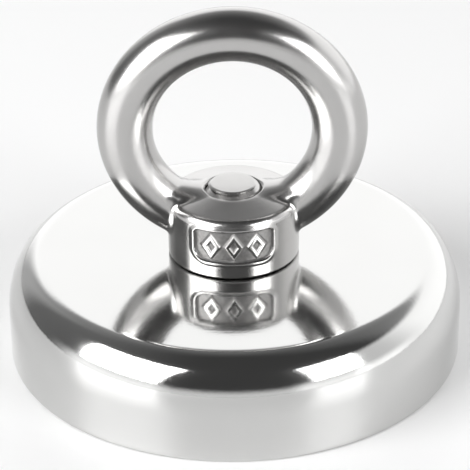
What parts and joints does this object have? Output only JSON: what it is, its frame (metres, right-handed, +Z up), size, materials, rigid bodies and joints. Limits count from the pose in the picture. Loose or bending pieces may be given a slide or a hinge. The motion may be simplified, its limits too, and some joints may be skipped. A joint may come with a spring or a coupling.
{
  "type": "magnet fishing magnet",
  "caption": "Round nickel-plated pot magnet with a cast eye nut held on by a countersunk screw, for pulling steel objects out of water on a rope.",
  "frame": {"origin": "centre of the pulling face, in the plane of the pot's rim", "axes": "+Z runs up the screw from the pulling face to the eye, the hole of the eye runs along Y, and the marked panel faces -Y"},
  "size_m": [0.067, 0.067, 0.0531],
  "materials": {
    "nickel_plate": "bright nickel plate on turned steel",
    "magnet_plate": "satin nickel plate on ground sintered magnet",
    "black_epoxy": "cured potting resin",
    "bush_steel": "turned stainless steel",
    "stainless": "bright stainless steel",
    "cast_stainless": "investment cast and polished stainless steel"
  },
  "bodies": {
    "magnet": {"steel_pot": "nickel_plate", "ring_magnet": "magnet_plate", "outer_epoxy_ring": "black_epoxy", "inner_epoxy_ring": "black_epoxy", "centre_bush": "bush_steel"},
    "screw": {"countersunk_screw": "stainless"},
    "eye": {"eye_nut": "cast_stainless"}
  },
  "joints": [
    {"name": "screw_turn", "type": "hinge", "parent": "magnet", "child": "screw", "pos_m": [0, 0, 0.0009], "axis": [0, 0, -1], "range_deg": [0, 3240]},
    {"name": "eye_nut_travel", "type": "slide", "parent": "magnet", "child": "eye", "axis": [0, 0, 1], "range_m": [0, 0.01125]}
  ],
  "couplings": [
    {"joint": "screw_turn", "follows": "eye_nut_travel", "rad_per_m": 5026.5}
  ]
}
